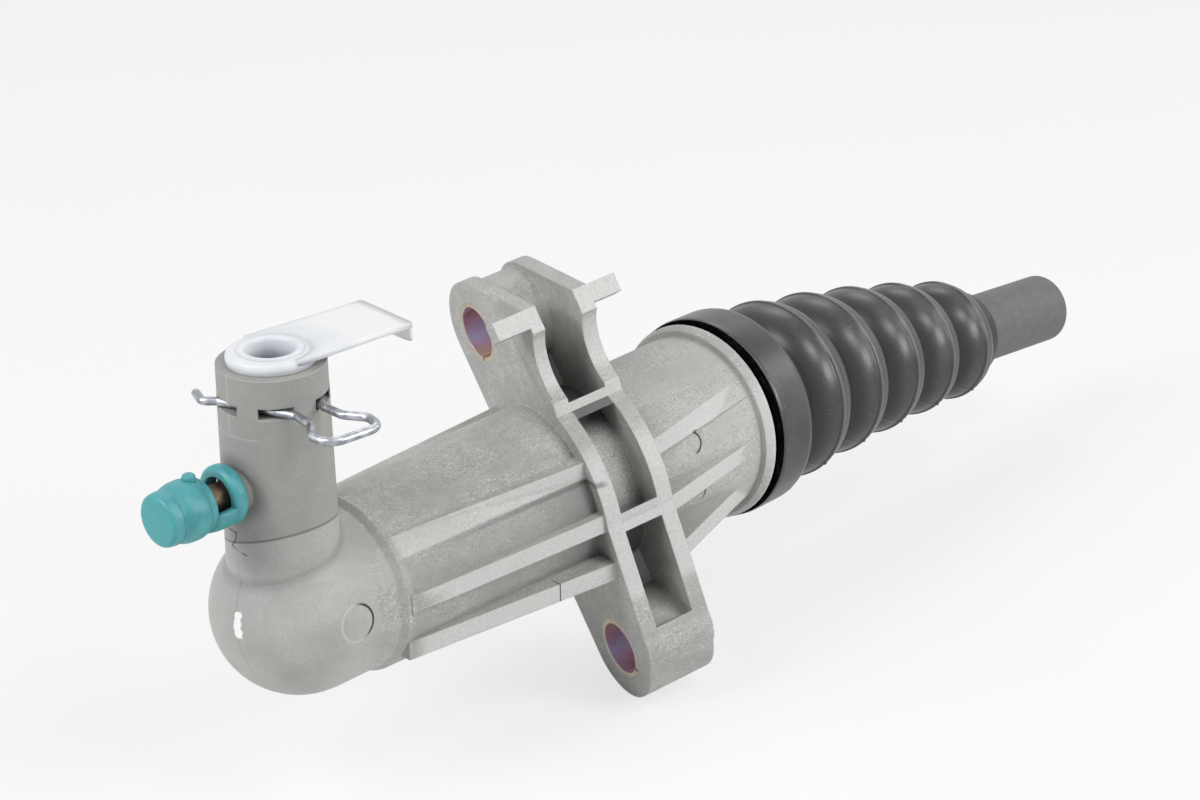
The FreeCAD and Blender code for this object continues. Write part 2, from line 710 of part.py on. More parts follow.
# Dust boot: a band on the spigot, five bellows that follow the rod's droop, and a cuff on the rod
BAND_START = "(collar_place + collar_width + boot_gap)"
LAST_CREST = f"(first_crest + {CREST_COUNT - 1} * bellows_pitch)"
CUFF_START = f"({LAST_CREST} + crest_round)"
bend_start = f"({BAND_START} + band_width)"


def boot_ring(name, along, radius):
    """A circle of the boot at a place along the bore, lowered and tilted as the boot bends."""
    share = f"max(0; min(1; (({along}) - {bend_start}) / ({CUFF_START} - {bend_start})))"
    drop = f"-(({along}) - {BALL_CENTRE}) * tan(rod_droop) * {share}"
    item = doc.addObject("Part::Circle", name)
    item.setExpression("Radius", words(radius))
    item.setExpression("Placement", words(place(along, "0", drop, pitch=f"90 + rod_droop * {share}")))
    return item


def boot_loft(name, rings):
    item = doc.addObject("Part::Loft", name)
    item.Sections = [boot_ring(f"{name}_{i}", *ring) for i, ring in enumerate(rings)]
    item.Solid = True
    item.Ruled = True
    return item


outer = [
    (BAND_START, "band_radius - band_bevel"),
    (f"{BAND_START} + band_bevel", "band_radius"),
    (f"{bend_start} - band_bevel", "band_radius"),
    (bend_start, "band_radius - band_bevel"),
]
inner = [
    (f"{BAND_START} - 0.1", "spigot_radius + boot_seat_clearance"),
    ("mouth_place + boot_seat_clearance", "spigot_radius + boot_seat_clearance"),
]
for k in range(CREST_COUNT):
    crest = f"(first_crest + {k} * bellows_pitch)"
    radius = f"(first_crest_radius - {k} * crest_taper)"
    valley = f"({crest} - bellows_pitch / 2)"
    valley_radius = f"({radius} + crest_taper / 2 - valley_depth)"
    outer += [
        (valley, valley_radius),
        (f"{crest} - crest_round", f"{radius} - crest_ease"),
        (crest, radius),
        (f"{crest} + crest_round", f"{radius} - crest_taper / 2 - crest_ease"),
    ]
    inner += [
        (valley, f"{valley_radius} - boot_wall"),
        (f"{crest} - crest_round / 2", f"{radius} - crest_ease - boot_wall"),
        (f"{crest} + crest_round / 2", f"{radius} - crest_ease - boot_wall"),
    ]
outer += [
    (f"{CUFF_START} + boot_wall", "cuff_radius"),
    (f"{CUFF_START} + boot_wall + cuff_width", "cuff_radius"),
]
inner += [
    (f"{CUFF_START} - boot_wall", "rod_shaft_radius + boot_seat_clearance"),
    (f"{CUFF_START} + boot_wall + cuff_width + 1", "rod_shaft_radius + boot_seat_clearance"),
]
keep("dust_boot", cut("boot", boot_loft("boot_outside", outer), [boot_loft("boot_inside", inner)]))

doc.recompute()
faults = [item.Name for item in doc.Objects if {"Invalid", "Error"} & set(item.State)]
for node, item in nodes.items():
    shape = item.Shape
    if shape.isNull() or not shape.isValid() or shape.Volume < TINY:
        faults.append(node)
if faults:
    raise RuntimeError("failed: " + ", ".join(faults))
for node, item in nodes.items():
    item.Shape.exportStep(os.path.join("parts", node + ".step"))
    bounds = item.Shape.BoundBox
    print(
        f"{node}: {len(item.Shape.Solids)} solid, {item.Shape.Volume:.0f} mm3, "
        f"x {bounds.XMin:.1f} to {bounds.XMax:.1f}, y {bounds.YMin:.1f} to {bounds.YMax:.1f}, "
        f"z {bounds.ZMin:.1f} to {bounds.ZMax:.1f}")
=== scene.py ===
import math

import bpy
from mathutils import Matrix, Vector


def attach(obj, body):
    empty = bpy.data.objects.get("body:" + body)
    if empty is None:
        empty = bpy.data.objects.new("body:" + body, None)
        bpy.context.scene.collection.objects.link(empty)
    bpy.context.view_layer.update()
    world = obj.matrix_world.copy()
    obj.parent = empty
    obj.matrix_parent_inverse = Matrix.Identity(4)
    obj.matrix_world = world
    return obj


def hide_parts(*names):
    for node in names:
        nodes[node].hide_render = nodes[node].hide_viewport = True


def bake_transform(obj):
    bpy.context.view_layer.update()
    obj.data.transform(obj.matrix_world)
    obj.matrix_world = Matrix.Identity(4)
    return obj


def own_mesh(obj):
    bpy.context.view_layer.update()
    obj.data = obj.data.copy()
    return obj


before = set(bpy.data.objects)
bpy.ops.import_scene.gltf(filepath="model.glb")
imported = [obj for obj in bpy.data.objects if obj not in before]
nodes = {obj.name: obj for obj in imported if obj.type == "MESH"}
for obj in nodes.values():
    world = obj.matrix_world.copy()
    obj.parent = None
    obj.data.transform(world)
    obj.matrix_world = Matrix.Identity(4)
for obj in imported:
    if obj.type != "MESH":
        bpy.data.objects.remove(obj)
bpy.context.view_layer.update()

MM = 0.001
BORE = Vector((1, 0, 0))

# All lengths below are in millimetres.

# The barrel's start, its radius there and how fast it widens, and the dome's centre and radius
SHOULDER, BARREL_RADIUS, BARREL_TAPER = -42.2, 13.7, 0.0185
DOME, DOME_RADIUS = -51.2, 13.0

# The port tower's axis along the bore, its top, its radius at the bore's level and its draft
TOWER, TOWER_TOP, TOWER_RADIUS, TOWER_DRAFT = -53.5, 39.0, 8.3, 0.54 / 39

# The height of the bleed screw's axis
BLEED_LEVEL = 21.9

# The flange's own directions: through its depth, along its ears to the upper hole, and out of its
# near side, with each hole's distance along the ears
DEPTHWISE = Vector((0.95882, -0.235736, 0.158411))
EARWISE = Vector((0, 0.5577, 0.83))
NEARWISE = Vector((-0.284, -0.7958, 0.5348))
HOLE = 27.0

# The dust boot's droop with the rod about its ball, its band, the distance between its crests and the
# fall from each to the next, the place and radius of the crests, the depth of its valleys, where its
# front and rear halves meet, and its cuff
DROOP = math.radians(5)
BALL = 31.0
BAND = (35.9, 44.3)
PITCH, FALL = 11.6, 1.15
CRESTS = [(54.2 + PITCH * k, 15.5 - FALL * k) for k in range(5)]
VALLEY = 4.2
SPLIT = 71.6
CUFF = (104.0, 107.9)


# Finishes


def ink(red, green, blue):
    """A colour picked on screen, 0 to 255, as the linear colour that a shader takes."""
    def linear(level):
        part = level / 255
        return part / 12.92 if part <= 0.04045 else ((part + 0.055) / 1.055) ** 2.4
    return (linear(red), linear(green), linear(blue), 1.0)


class Field:
    """A number, colour or vector that changes over a surface, with arithmetic for the numbers."""

    def __init__(self, finish, socket):
        self.finish = finish
        self.socket = socket

    def math(self, operation, *inputs):
        return self.finish.node("Math", {"operation": operation}, dict(enumerate(inputs)))

    def __add__(self, other):
        return self.math("ADD", self, other)

    def __radd__(self, other):
        return self.math("ADD", other, self)

    def __sub__(self, other):
        return self.math("SUBTRACT", self, other)

    def __rsub__(self, other):
        return self.math("SUBTRACT", other, self)

    def __mul__(self, other):
        return self.math("MULTIPLY", self, other)

    def __rmul__(self, other):
        return self.math("MULTIPLY", other, self)

    def __truediv__(self, other):
        return self.math("DIVIDE", self, other)

    def __abs__(self):
        return self.math("ABSOLUTE", self)

    def root(self):
        return self.math("SQRT", self)

    def most(self, other):
        return self.math("MAXIMUM", self, other)

    def least(self, other):
        return self.math("MINIMUM", self, other)

    def over(self, low, high):
        """A soft step: 0 below low and 1 above high, or the other way round where low is higher."""
        if low > high:
            return 1 - self.over(high, low)
        return self.finish.node("MapRange", {"interpolation_type": "SMOOTHSTEP"}, {
            "Value": self, "From Min": low, "From Max": high})

    def line(self, place, half, soft=0.05):
        """A mask of the thin line, in millimetres, where the field is at place."""
        return abs(self - place * MM).over((half + soft) * MM, half * MM)

    def between(self, low, high, soft=0.2):
        """A mask of the stretch from low to high, in millimetres, with soft ends."""
        return self.over((low - soft) * MM, low * MM) * self.over((high + soft) * MM, high * MM)


class Shading:
    """A tree of shader nodes."""

    def __init__(self, tree):
        self.tree = tree

    def node(self, kind, settings=None, inputs=None, out=0):
        """Any shader node: its kind, its settings, and the values or fields of its sockets."""
        made = self.tree.nodes.new("ShaderNode" + kind)
        for name, value in (settings or {}).items():
            if name == "stops":
                self.set_stops(made.color_ramp, value)
            else:
                setattr(made, name, value)
        for name, value in (inputs or {}).items():
            if isinstance(value, Field):
                self.tree.links.new(value.socket, made.inputs[name])
            else:
                made.inputs[name].default_value = value
        return made if out is None else Field(self, made.outputs[out])

    def set_stops(self, ramp, stops):
        while len(ramp.elements) < len(stops):
            ramp.elements.new(1.0)
        for element, (place, colour) in zip(ramp.elements, stops):
            element.position = place
            element.color = colour

    def seen(self):
        """1 where the camera, gloss or clear plastic looks, and 0 for the light on the part."""
        path = self.node("LightPath", out=None)
        kinds = [
            Field(self, path.outputs["Is " + kind + " Ray"]) for kind in ("Camera", "Glossy", "Transmission")]
        return kinds[0].most(kinds[1]).most(kinds[2])


class Finish(Shading):
    """One surface finish, built from shader nodes around a Principled shader."""

    def __init__(self, name, **constants):
        self.material = bpy.data.materials.new(name)
        self.material.use_nodes = True
        super().__init__(self.material.node_tree)
        self.shader = self.tree.nodes["Principled BSDF"]
        for words, value in constants.items():
            self.shader.inputs[words.replace("_", " ").title().replace("Ior", "IOR")].default_value = value
        self.spot = self.node("TexCoord", out="Object")
        axes = self.node("SeparateXYZ", {}, {0: self.spot}, out=None)
        self.x, self.y, self.z = [Field(self, axes.outputs[i]) for i in range(3)]

    def grain(self, size, detail=2.0, stretch=(1, 1, 1), roughness=0.5):
        """Noise whose patches are about that size, in millimetres, longer along a stretched axis."""
        scale = [1 / (size * MM * long) for long in stretch]
        spot = self.node("VectorMath", {"operation": "MULTIPLY"}, {0: self.spot, 1: scale})
        return self.node("TexNoise", {}, {
            "Vector": spot, "Scale": 1.0, "Detail": detail, "Roughness": roughness})

    def mix(self, share, shadow_under_fin, over):
        return self.node("Mix", {"data_type": "RGBA"}, {0: share, 6: shadow_under_fin, 7: over}, out=2)

    def dot(self, one, other):
        return self.node("VectorMath", {"operation": "DOT_PRODUCT"}, {0: one, 1: other}, out=1)

    def normal(self):
        return self.node("NewGeometry", out="Normal")

    def edge_wear_and_highlight(self, radius):
        """The rounded normal near corners, and a mask that is 1 on the corners themselves."""
        rounded = self.node("Bevel", {"samples": 6}, {"Radius": radius * MM})
        return rounded, (1 - self.dot(rounded, self.normal())).over(0.01, 0.22)

    def disc(self, centre, facing, radius, soft=0.1):
        """Distance from a line through centre, and a mask of the near round patch about it."""
        away = self.node("VectorMath", {"operation": "SUBTRACT"}, {
            0: self.spot, 1: [v * MM for v in centre]})
        along = self.dot(away, Vector(facing).normalized())
        far = (self.dot(away, away) - along * along).root()
        near = abs(along).over(3.2 * MM, 2.6 * MM)
        return far, far.over(radius * MM, (radius - soft) * MM) * near

    def stroke(self, points, half, soft=0.05):
        """A mask of a thin line drawn from point to point, in millimetres."""
        drawn = 0.0
        for start, end in zip(points, points[1:]):
            start, end = Vector(start) * MM, Vector(end) * MM
            away = self.node("VectorMath", {"operation": "SUBTRACT"}, {0: self.spot, 1: start})
            ahead = self.dot(away, (end - start).normalized())
            held = ahead.most(0.0).least((end - start).length)
            far = (self.dot(away, away) - held * ahead * 2 + held * held).most(0.0).root()
            drawn = far.over((half + soft) * MM, half * MM).most(drawn)
        return drawn

    def wear(self, colour=None, roughness=None, height=None, depth=0.05, smooth=None, **others):
        """Feed the shader: a colour, a roughness, and a height whose whole depth is in millimetres."""
        fed = {"Base Color": colour, "Roughness": roughness}
        fed.update({words.replace("_", " ").title(): value for words, value in others.items()})
        if height is not None:
            bump = {"Height": height, "Distance": depth * MM, "Strength": 1.0}
            if smooth is not None:
                bump["Normal"] = smooth
            fed["Normal"] = self.node("Bump", {}, bump)
        elif smooth is not None:
            fed["Normal"] = smooth
        for name, value in fed.items():
            if isinstance(value, Field):
                self.tree.links.new(value.socket, self.shader.inputs[name])
        return self.material


def from_bore(nylon):
    """Distance from the bore's axis."""
    return (nylon.y * nylon.y + nylon.z * nylon.z).root()


def foot_height(nylon):
    """Height on the tower's foot, whose edge rises towards the near side."""
    return nylon.z + nylon.y * 0.27


def nylon_tone(nylon, patches, grit, tower):
    """A grey that is mottled and full of fibre flecks, but even on the tower and dome, with painted light on
    the tower's foot and the collar, and how loud it is.
    """
    cloud = nylon.grain(1.7, 3.0, (1.6, 1, 1))
    flecks = nylon.grain(0.27, 1.0, (1.7, 1, 1), 0.5)
    dome = nylon.x.over(-46.5 * MM, -47.5 * MM) * (1 - tower)
    foot = tower * foot_height(nylon).over(14.0 * MM, 13.7 * MM)
    smooth = (tower * 0.85 + dome * 0.7).least(0.85) - foot * 0.15
    loud = (1 - smooth) * (patches.over(0.35, 0.62) * 0.75 + 0.25)
    collar = nylon.x.over(10 * MM, 18 * MM)
    grey = nylon.mix(patches.over(0.3, 0.7), ink(170, 170, 167), ink(182, 182, 179))
    grey = nylon.mix(tower, grey, nylon.mix(cloud, ink(154, 153, 150), ink(162, 161, 158)))
    # Painted light: the tower's foot is painted as pale as the dome.
    grey = nylon.mix(foot, grey, ink(176, 176, 173))
    grey = nylon.mix(cloud.over(0.6, 0.35) * (1 - smooth) * 0.35, grey, ink(148, 148, 145))
    # Painted light: the collar end is painted paler.
    grey = nylon.mix(collar * 0.3, grey, ink(212, 212, 210))
    grey = nylon.mix(grit.over(0.52, 0.36) * loud * 0.42, grey, ink(136, 136, 133))
    grey = nylon.mix(grit.over(0.48, 0.64) * loud * 0.25, grey, ink(204, 204, 202))
    grey = nylon.mix(flecks.over(0.6, 0.7) * loud * 0.7, grey, ink(224, 224, 222))
    return grey, loud


def nylon_light_and_shade(nylon, grey, grit, tower):
    """The same grey with painted light and shade: paler on the near faces of fins and ribs, and darker in the
    hollows between them.
    """
    barrel = (nylon.x - SHOULDER * MM) * BARREL_TAPER + BARREL_RADIUS * MM
    proud = (from_bore(nylon) - barrel).over(0.12 * MM, 0.5 * MM) * (1 - tower)
    proud = proud * nylon.x.over(-42 * MM, -38 * MM)
    sideways = nylon.dot(nylon.normal(), Vector((-0.12, -0.96, 0.22)).normalized())
    outward = nylon.dot(nylon.normal(), Vector((-0.22, -0.84, 0.46)).normalized())
    depth = nylon.dot(nylon.spot, DEPTHWISE)
    along = nylon.dot(nylon.spot, EARWISE)
    shaft = nylon.x.between(-40.5, -4.0, 1.5) * nylon.y.over(-7 * MM, -9 * MM)
    upper_fin = shaft * nylon.z.between(7.6, 10.1, 0.15)
    # Painted light: the near faces of the fins, ribs and plates are painted paler.
    pale = (proud * sideways.over(0.78, 0.93) * 0.8).most(upper_fin * 0.55)
    pale = pale * along.over(-22 * MM, -19.5 * MM)
    grey = nylon.mix(pale, grey, nylon.mix(grit.over(0.3, 0.7), ink(204, 204, 202), ink(216, 216, 214)))
    # Painted shade between the fins, deepening towards the flange.
    hollow_shade = shaft * (1 - proud) * nylon.z.over(7.8 * MM, 7.0 * MM)
    hollow_shade = hollow_shade * (nylon.x.over(-20 * MM, -4 * MM) * 0.45 + 0.3)
    grey = nylon.mix(hollow_shade, grey, ink(118, 118, 116))
    # Painted shadow: a dark line under the upper fin.
    shadow_under_fin = shaft * nylon.z.line(7.2, 0.12, 0.5) * nylon.x.over(-40 * MM, -12 * MM)
    grey = nylon.mix(shadow_under_fin * 0.6, grey, ink(84, 84, 82))
    # Painted shade deep in the flange's pockets.
    pocket_shade = depth.between(2.9, 9.1, 0.4) * abs(along).over(21 * MM, 17 * MM) * outward.over(0.94, 0.82)
    return nylon.mix(pocket_shade * 0.8, grey, ink(72, 72, 70))


def ejector_marks(nylon):
    """Three sunken ejector marks: their floors, and the painted shadow and painted highlight on either side
    of their rims.
    """
    floors = dark = bright = 0.0
    for centre, facing, radius in (
        ((-51.2, -13.1, 1.6), (0, -0.993, 0.12), 2.75),
        ((18.6, -13.6, 6.0), (0, -0.914, 0.405), 1.75),
        ((18.7, -14.6, -2.7), (0, -0.983, -0.182), 1.75),
    ):
        far, patch = nylon.disc(centre, facing, radius, 0.12)
        rim = abs(far - radius * MM).over(0.24 * MM, 0.12 * MM)
        rim = rim * nylon.disc(centre, facing, radius + 0.5)[1]
        # The rims' shaded side is painted dark and their lit side pale.
        right = (nylon.x - centre[0] * MM + nylon.z * 0.15).over(0.1 * MM, radius * 0.8 * MM)
        floors = patch + floors
        dark = rim * right + dark
        bright = rim * (1 - right) + bright
    return floors, dark.least(1.0), bright.least(1.0)


def foot_crease_shade(nylon, tower):
    """Painted shade along the fold at the edge of the tower's foot, and softer painted shade where the tower
    meets the dome.
    """
    beside = nylon.x - TOWER * MM
    wall = (beside * beside + nylon.y * nylon.y).root() + nylon.z * TOWER_DRAFT - TOWER_RADIUS * MM
    behind = (nylon.x - DOME * MM).least(0.0)
    reach = from_bore(nylon)
    ball = (behind * behind + reach * reach).root() - DOME_RADIUS * MM
    fold = foot_height(nylon).line(13.85, 0.05, 0.25) * nylon.x.over(-46 * MM, -47 * MM)
    root = wall.over(0.9 * MM, 0.1 * MM) * ball.over(0.9 * MM, 0.1 * MM) * nylon.z.over(4 * MM, 6 * MM)
    return (root * 0.35).most(fold * tower * wall.over(0.5 * MM, 0.3 * MM))


def bare_scar(nylon):
    """The bare white scar with a ragged edge on the dome's end."""
    ragged = nylon.grain(0.7, 3.0)
    round_patch = nylon.disc((-64.0, -1.9, 2.3), (-1, -0.16, 0.15), 2.0)[1]
    strip = abs(nylon.y + 1.95 * MM - nylon.z * 0.1) + (ragged - 0.5) * (1.4 * MM)
    return round_patch * strip.over(0.78 * MM, 0.68 * MM) * nylon.x.over(-60 * MM, -62 * MM)


def moulded_nylon(name, edges):
    """Grey glass-filled nylon with its moulding marks. With edges, its corners are rounded and painted paler,
    partly as edge wear and partly as a painted highlight.
    """
    nylon = Finish(name, roughness=0.55, specular_ior_level=0.4)
    rounded, corner = nylon.edge_wear_and_highlight(0.35) if edges else (None, None)
    patches = nylon.grain(6.0, 4.0, (2.0, 1, 1))
    grit = nylon.grain(0.34, 2.0, (1.3, 1, 1), 0.6)
    tower = nylon.z.over(9 * MM, 13 * MM) * nylon.x.over(-42 * MM, -44 * MM)
    grey, loud = nylon_tone(nylon, patches, grit, tower)
    # Painted highlight and edge wear: the corners are painted paler.
    if edges:
        grey = nylon.mix(corner * 0.5, grey, ink(216, 216, 214))
    grey = nylon_light_and_shade(nylon, grey, grit, tower)
    floors, dark, bright = ejector_marks(nylon)
    crease_shade = foot_crease_shade(nylon, tower)
    scar = bare_scar(nylon)
    parting = (nylon.y - nylon.z * 0.2).line(-1.9, 0.05) * nylon.x.over(-50 * MM, -52 * MM) * (1 - tower)
    seam = nylon.y.line(0.3, 0.06) * nylon.x.over(-60 * MM, -61 * MM) * nylon.z.over(29.5 * MM, 30.5 * MM)
    witness = nylon.z.line(30.2, 0.05) * nylon.x.over(-59.2 * MM, -60.6 * MM)
    crack = nylon.stroke([
        (-60.95, 3.2, 15.4), (-61.32, 2.06, 15.39), (-61.58, 0, 15.36), (-61.59, 0.32, 14.13),
        (-61.52, 1.27, 12.95), (-61.45, -1.69, 12.27)], 0.09)
    weld = nylon.x.line(-14.0, 0.09, 0.04) * nylon.y.over(-14 * MM, -14.6 * MM) * nylon.z.between(-8.8, -5.3)
    # Painted shade on the tower round the bleed screw's boss.
    above = nylon.z - BLEED_LEVEL * MM
    boss_shade = (above * above + nylon.y * nylon.y).root().over(6.2 * MM, 3.6 * MM)
    boss_shade = boss_shade * nylon.x.over(-57 * MM, -59.5 * MM)
    # Painted shadow on the ejector rims' shaded side, and the dark weld line.
    grey = nylon.mix((dark * 0.95).most(weld * 0.9), grey, ink(34, 34, 33))
    # Painted shade in the tower's creases.
    grey = nylon.mix(crease_shade * 0.7, grey, ink(92, 92, 90))
    grey = nylon.mix(boss_shade * 0.5, grey, ink(96, 93, 88))
    grey = nylon.mix(crack * 0.85, grey, ink(66, 66, 64))
    grey = nylon.mix(parting * 0.4, grey, ink(128, 128, 125))
    # Painted highlight on the ejector rims' lit side, and the pale seam and witness lines.
    grey = nylon.mix((bright * 0.5).most(seam * 0.5).most(witness * 0.5), grey, ink(206, 206, 203))
    grey = nylon.mix(scar, grey, ink(252, 252, 252))
    height = grit * loud * 0.8 + patches * 0.2 + seam * 1.5 + scar * 3.0
    height = height - floors * 3.0 - witness * 1.5 - crack * 3.0 - weld * 3.0 - parting
    rough = 0.46 + patches * 0.12 + tower * 0.08
    return nylon.wear(grey, rough, height, 0.022, rounded)


def zinc_sleeve():
    """Rolled steel with yellow zinc: bands of violet, blue and gold down the bore, pale at the rim, with a
    painted highlight across the bore.
    """
    zinc = Finish("yellow_zinc", metallic=0.45, roughness=0.3)
    rounded, corner = zinc.edge_wear_and_highlight(0.2)
    rim = abs(zinc.dot(zinc.normal(), DEPTHWISE)).over(0.6, 0.85)
    depth = zinc.dot(zinc.spot, DEPTHWISE) / (9 * MM)
    drift = zinc.grain(3.0, 3.0)
    cloud = zinc.grain(0.9, 3.0)
    around = abs(zinc.dot(zinc.spot, EARWISE)) - HOLE * MM
    tone = around / (12 * MM) + depth * 0.3 + drift * 0.4 + cloud * 0.15 + 0.1
    colour = zinc.node("ValToRGB", {"stops": [
        (0.02, ink(222, 208, 176)), (0.16, ink(204, 168, 158)), (0.30, ink(202, 176, 210)),
        (0.44, ink(190, 196, 228)), (0.60, ink(210, 176, 202)), (0.80, ink(176, 132, 116))]}, {0: tone})
    scratches = zinc.grain(0.2, 2.0, (6, 1, 1))
    colour = zinc.mix((corner * 0.5).most(rim * 0.8), colour, ink(172, 164, 138))
    colour = zinc.mix(scratches.over(0.5, 0.8) * 0.2, colour, ink(206, 196, 196))
    # Painted highlight: a pale sheen band across each bore.
    nearer = zinc.dot(zinc.spot, NEARWISE)
    sheen = abs(nearer + around * 0.3 - depth * (1.5 * MM)).over(1.3 * MM, 0.2 * MM) * (1 - rim)
    colour = zinc.mix(sheen * 0.45, colour, ink(236, 230, 240))
    return zinc.wear(colour, 0.26 + cloud * 0.16, scratches, 0.01, rounded)


def drawn_wire(name, light, dark):
    """Drawn spring steel: fine lengthwise draw marks and a faint cloudy tone."""
    wire = Finish(name, metallic=1.0, roughness=0.3)
    cloud = wire.grain(1.1, 3.0)
    draw = wire.grain(0.12, 2.0, (1, 8, 1))
    colour = wire.mix(cloud.over(0.35, 0.65), ink(*dark), ink(*light))
    return wire.wear(colour, 0.24 + cloud * 0.2, draw, 0.008)


def clear_plug():
    """Milky polythene: pale, faintly cloudy and soft to light, with painted blue-grey shade down its cup."""
    milk = Finish(
        "milky_polythene", roughness=0.35, ior=1.5, subsurface_weight=0.5, subsurface_scale=0.004,
        subsurface_radius=(1.0, 1.0, 1.0))
    cloud = milk.grain(3.5, 3.0)
    flow = milk.grain(0.7, 2.0, (6, 1, 1))
    out = milk.x - TOWER * MM
    radius = (out * out + milk.y * milk.y).root()
    colour = milk.mix(cloud.over(0.3, 0.7), ink(222, 226, 233), ink(230, 233, 238))
    colour = milk.mix(out.over(7 * MM, 12 * MM), colour, ink(236, 236, 236))
    # Painted shade down the cup, which looks into the dark bore.
    cup = radius.over(3.75 * MM, 3.45 * MM)
    colour = milk.mix(cup * milk.z.over(40.4 * MM, 37.0 * MM), colour, ink(128, 134, 142))
    wet = cup * milk.z.over(36.2 * MM, 35.8 * MM) * cloud.over(0.45, 0.6)
    colour = milk.mix(wet * 0.7, colour, ink(200, 206, 212))
    return milk.wear(colour, 0.3 + cloud * 0.15, flow, 0.012)


def teal_rubber():
    """Teal moulded rubber with a satin skin, paler where it is stretched thin, greener on its strap."""
    teal = Finish(
        "teal_rubber", roughness=0.42, subsurface_weight=0.1, subsurface_scale=0.0015,
        subsurface_radius=(1.0, 1.0, 1.0))
    cloud = teal.grain(2.4, 3.0)
    skin = teal.grain(0.3, 3.0)
    colour = teal.mix(cloud.over(0.3, 0.7), ink(68, 150, 156), ink(80, 163, 168))
    colour = teal.mix(teal.x.over(-74.4 * MM, -74.9 * MM) * 0.5, colour, ink(62, 160, 162))
    strap = teal.x.over(-67.6 * MM, -67.0 * MM) * teal.z.over(20.4 * MM, 18.6 * MM)
    colour = teal.mix(strap * 0.7, colour, ink(46, 160, 146))
    return teal.wear(colour, 0.34 + cloud * 0.16, skin, 0.02)


def boot_rubber():
    """Black rubber gone grey: a satin sheen, dusty patches, pale specks, painted shade in the valleys, and
    crests paled by wear and a painted highlight.
    """
    boot = Finish("boot_rubber", roughness=0.42, specular_ior_level=0.6)
    cloud = boot.grain(7.0, 4.0)
    fine = boot.grain(0.3, 3.0)
    dust = boot.grain(0.4, 2.0, (1, 1, 1), 0.7)
    share = (boot.x - BAND[1] * MM) / ((CUFF[0] - BAND[1]) * MM)
    lean = share.most(0.0).least(1.0) * math.sin(DROOP)
    along = boot.x - lean * (boot.z + (boot.x - BALL * MM) * lean)
    crest = 0.0
    valley = 0.0
    for place, _ in CRESTS:
        crest = along.line(place + 0.12, 0.16, 0.22).most(crest)
        shade_before_crest = along.line(place - 0.5, 0.2, 1.3) * 0.4
        valley = along.line(place - 5.4, 1.0, 2.2).most(shade_before_crest).most(valley)
    colour = boot.mix(cloud.over(0.3, 0.72), ink(48, 48, 49), ink(68, 68, 69))
    colour = boot.mix(dust.over(0.62, 0.72) * 0.5, colour, ink(128, 128, 128))
    # Painted shade in each valley and just before each crest.
    colour = boot.mix(valley * 0.85, colour, ink(18, 18, 19))
    # Crests painted paler, partly as wear and partly as a painted highlight.
    colour = boot.mix(crest * 0.5, colour, ink(126, 126, 128))
    colour = boot.mix(boot.x.over(104.6 * MM, 105.0 * MM), colour, ink(12, 12, 12))
    rough = 0.25 + cloud * 0.14 + dust.over(0.6, 0.75) * 0.2
    return boot.wear(colour, rough, fine * 0.7 + cloud * 0.3, 0.025)


def painted_shade_rubber():
    """Painted shade: a black, matt sheet without gloss in the gap between the boot's band and the collar,
    dusty only in places.
    """
    dull = Finish("painted_shade_rubber", roughness=0.95, specular_ior_level=0.0)
    cloud = dull.grain(0.8, 3.0)
    colour = dull.mix(cloud.over(0.45, 0.8), ink(8, 8, 8), ink(30, 30, 30))
    return dull.wear(colour, 0.9 + cloud * 0.1, cloud, 0.05)


def rod_plastic():
    """Mid-grey rod plastic, matt and faintly mottled, with soft pale edges."""
    rod = Finish("rod_plastic", roughness=0.6)
    rounded, corner = rod.edge_wear_and_highlight(0.5)
    mottle = rod.grain(1.4, 4.0, (1.6, 1, 1), 0.6)
    fine = rod.grain(0.28, 3.0)
    colour = rod.mix(mottle.over(0.3, 0.7), ink(98, 98, 98), ink(110, 110, 110))
    colour = rod.mix(fine.over(0.6, 0.75) * 0.25, colour, ink(132, 132, 132))
    colour = rod.mix(corner * 0.25, colour, ink(150, 150, 150))
    return rod.wear(colour, 0.52 + mottle * 0.16, fine + mottle * 0.3, 0.02, rounded)


def dark_brass():
    """Dark plated screw metal, browned, with bright turned corners."""
    brass = Finish("dark_brass", metallic=0.8, roughness=0.42)
    rounded, corner = brass.edge_wear_and_highlight(0.2)
    stain = brass.grain(1.2, 3.0)
    colour = brass.mix(stain.over(0.3, 0.7), ink(84, 70, 62), ink(120, 100, 84))
    colour = brass.mix(corner * 0.6, colour, ink(170, 150, 120))
    return brass.wear(colour, 0.36 + stain * 0.2, stain, 0.01, rounded)


def seal_finish(name, light, dark, shine):
    """Inner rubber or plastic: faint lathe lines round the bore in a cloudy tone."""
    seal = Finish(name, roughness=shine)
    cloud = seal.grain(2.0, 3.0)
    lines = seal.grain(0.2, 1.0, (1, 30, 30))
    colour = seal.mix(cloud.over(0.3, 0.7), ink(*dark), ink(*light))
    return seal.wear(colour, shine - 0.06 + cloud * 0.14, lines, 0.01)


def dress(obj, material):
    """Give an object its one finish."""
    obj.data.materials.clear()
    obj.data.materials.append(material)
    return obj


NYLON = moulded_nylon("moulded_nylon", True)
PLAIN_NYLON = moulded_nylon("plain_nylon", False)
ZINC = zinc_sleeve()
WIRE = drawn_wire("drawn_wire", (186, 188, 192), (146, 150, 158))
SPRING = drawn_wire("spring_steel", (150, 152, 156), (118, 120, 126))
MILK = clear_plug()
TEAL = teal_rubber()
BOOT = boot_rubber()
SHADE_RUBBER = painted_shade_rubber()
ROD = rod_plastic()
BRASS = dark_brass()
SEAL = seal_finish("seal_rubber", (46, 46, 48), (34, 34, 36), 0.4)
GUIDE = seal_finish("guide_ring", (214, 210, 200), (196, 192, 182), 0.45)
PISTON = seal_finish("piston_plastic", (74, 74, 78), (60, 60, 64), 0.42)

